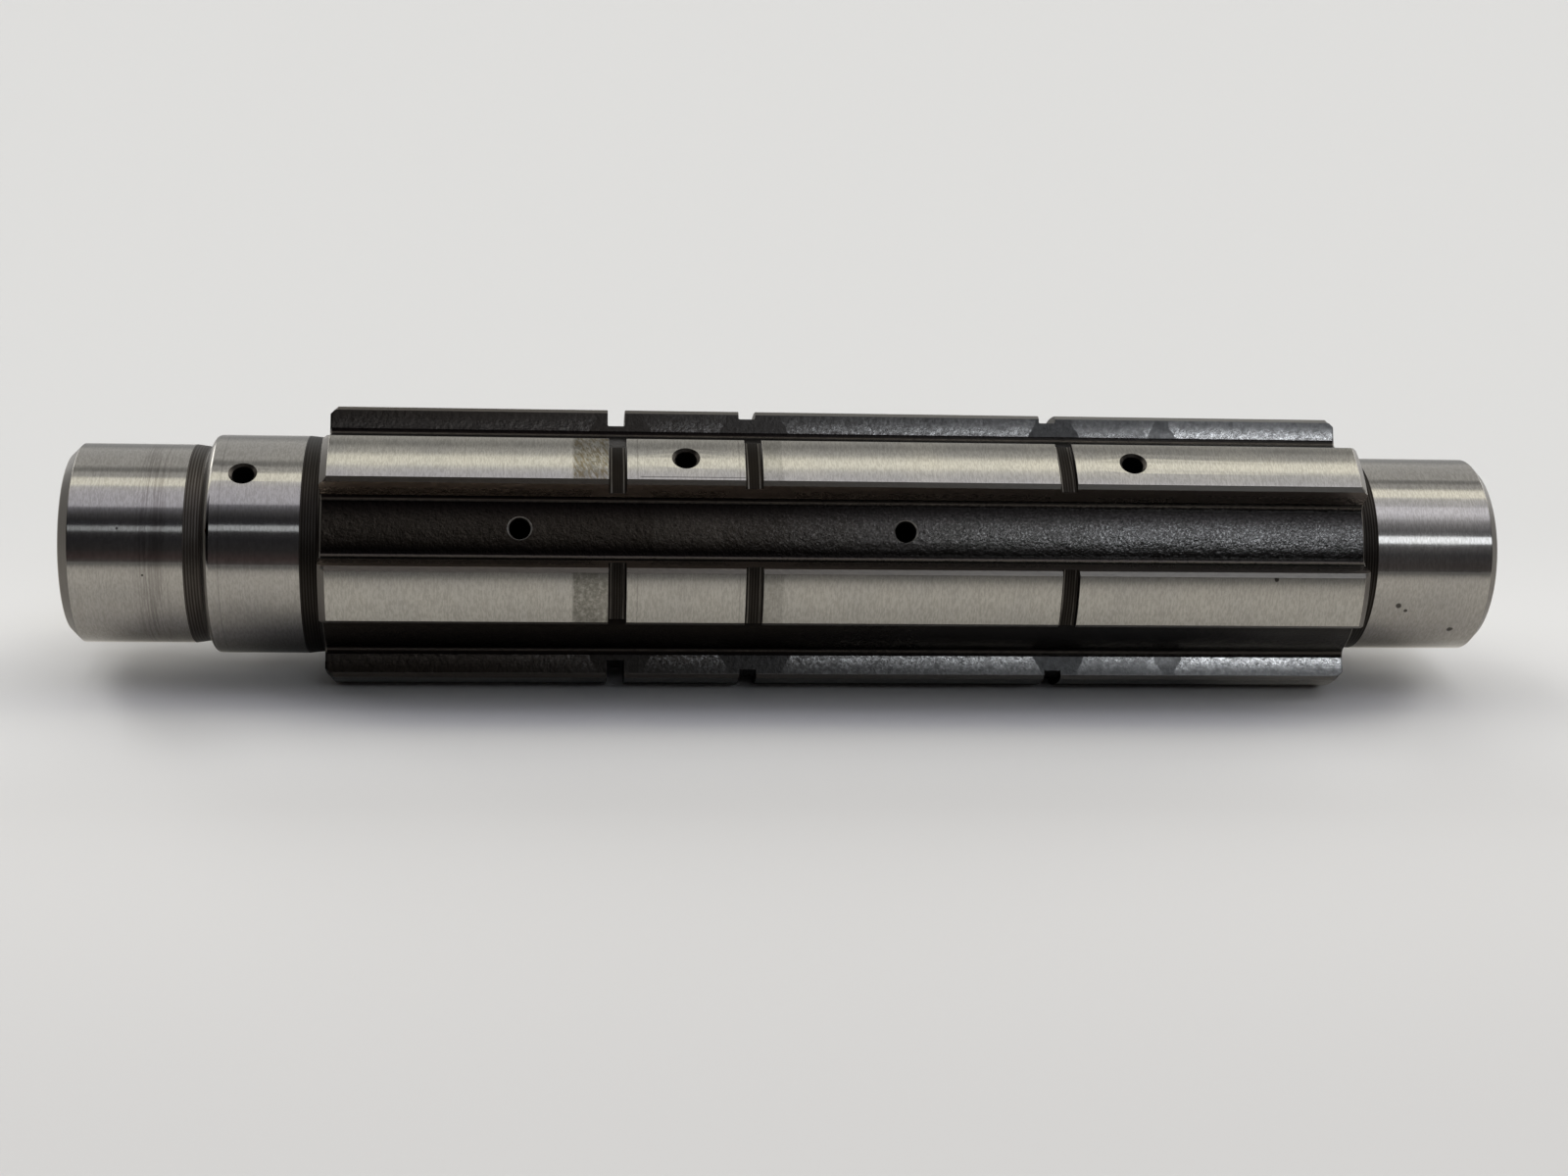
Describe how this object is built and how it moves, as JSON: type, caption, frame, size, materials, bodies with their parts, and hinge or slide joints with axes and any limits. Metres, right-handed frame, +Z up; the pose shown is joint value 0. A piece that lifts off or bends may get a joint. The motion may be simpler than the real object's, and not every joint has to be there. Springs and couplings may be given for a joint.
{
  "type": "splined drive shaft",
  "caption": "Steel drive shaft with bearing journals at both ends, straight-sided splines, ring grooves and drilled oil holes.",
  "frame": {"origin": "on the shaft's axis at the middle of its length", "axes": "+X along the shaft from the large journal towards the plain right journal, one tooth points to the front, -Y, +Z up"},
  "size_m": [0.288, 0.056, 0.0528],
  "materials": {
    "steel": "ground bright journals and tooth lands, dark heat-treated valleys, flanks, reliefs and grooves"
  },
  "bodies": {
    "root": {"shaft": "steel"}
  },
  "joints": []
}
